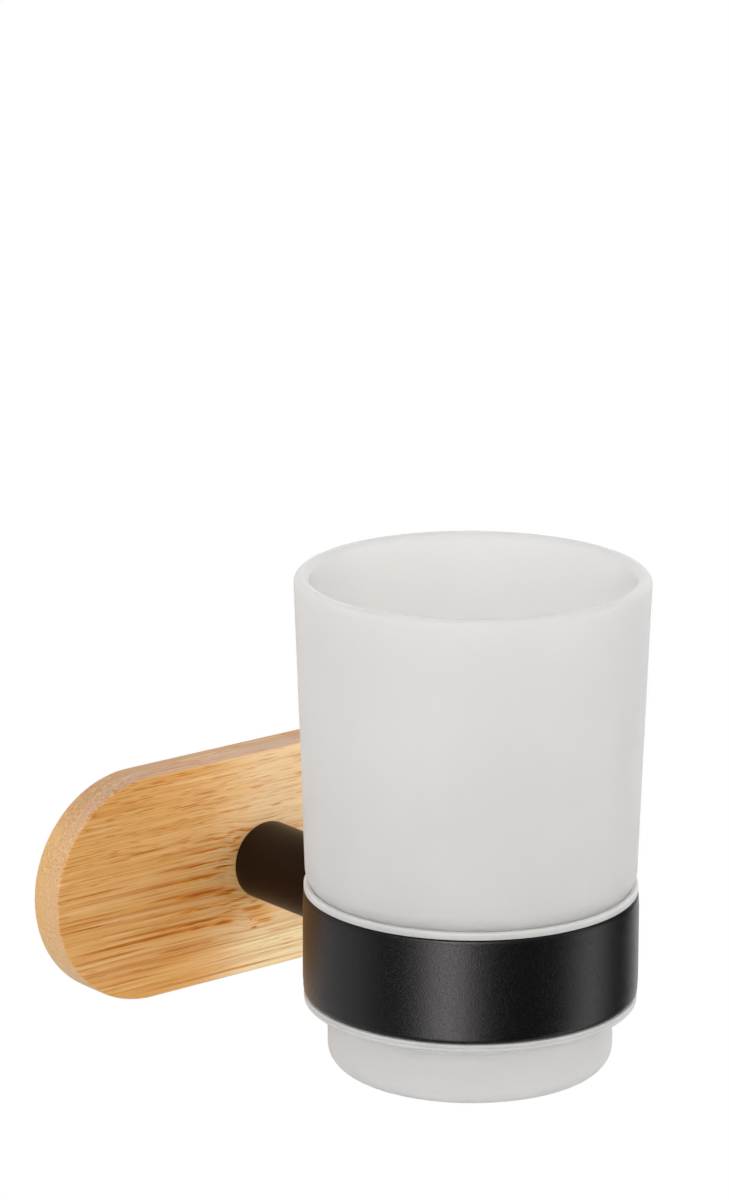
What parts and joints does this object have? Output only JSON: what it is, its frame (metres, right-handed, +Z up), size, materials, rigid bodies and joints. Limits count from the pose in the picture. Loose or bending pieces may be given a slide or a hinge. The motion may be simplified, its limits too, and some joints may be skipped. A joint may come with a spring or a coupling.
{
  "type": "toothbrush cup",
  "caption": "Frosted glass tumbler with a stepped foot, standing in a black lined ring on a short post from an oval bamboo wall board.",
  "frame": {"origin": "centre of the face of the adhesive pad that meets the wall", "axes": "+Y into the wall, +Z up along the tumbler's axis, +X to the right along the board as seen from the room"},
  "size_m": [0.104, 0.1069, 0.0975],
  "materials": {
    "frosted_glass": "frosted all over, inside and out",
    "liner_plastic": "soft, milky, satin",
    "black_coat_ring": "matt black powder coat",
    "black_coat_post": "matt black powder coat",
    "zinc_steel": "bright zinc plate",
    "bamboo_front": "sanded bamboo, clear matt lacquer, grain along the board",
    "bamboo_back": "sanded bamboo, clear matt lacquer, grain along the board",
    "pad_foam": "thin adhesive foam"
  },
  "bodies": {
    "holder": {"ring_liner": "liner_plastic", "support_ring": "black_coat_ring", "post": "black_coat_post", "ring_screw": "zinc_steel", "board_screw": "zinc_steel", "board_washer": "zinc_steel", "locating_pin": "zinc_steel", "board_front_ply": "bamboo_front", "board_back_ply": "bamboo_back", "wall_pad": "pad_foam"},
    "tumbler": {"tumbler": "frosted_glass"}
  },
  "joints": [
    {"name": "tumbler_lift", "type": "slide", "parent": "holder", "child": "tumbler", "axis": [0, 0, 1], "range_m": [0, 0.06]}
  ]
}
